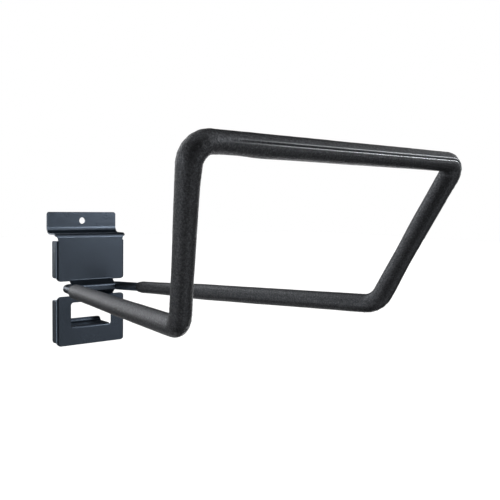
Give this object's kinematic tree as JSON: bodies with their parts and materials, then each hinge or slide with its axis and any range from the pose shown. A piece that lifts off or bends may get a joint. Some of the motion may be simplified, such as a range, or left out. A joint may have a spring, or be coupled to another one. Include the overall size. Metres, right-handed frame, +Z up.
{
  "type": "padded slatwall loop rack",
  "caption": "Wide foam-padded steel rod loop on a folded sheet-steel bracket that hooks into the grooves of a slatted wall panel, for hanging sports and leisure gear.",
  "frame": {"origin": "in the panel's face plane, at mid-width, on the underside of the upper hook where it rests on the lower edge of its groove", "axes": "+Y into the wall, so the loop reaches out along -Y; +Z up; X across the bracket"},
  "size_m": [0.2024, 0.3048, 0.1507],
  "materials": {
    "bracket_coat": "satin powder coat",
    "rod_coat": "satin",
    "foam": "matte",
    "weld_coat": "satin"
  },
  "bodies": {
    "root": {"slatwall_bracket": "bracket_coat", "rod_loop": "rod_coat", "foam_sleeve": "foam", "tunnel_welds": "weld_coat"}
  },
  "joints": []
}
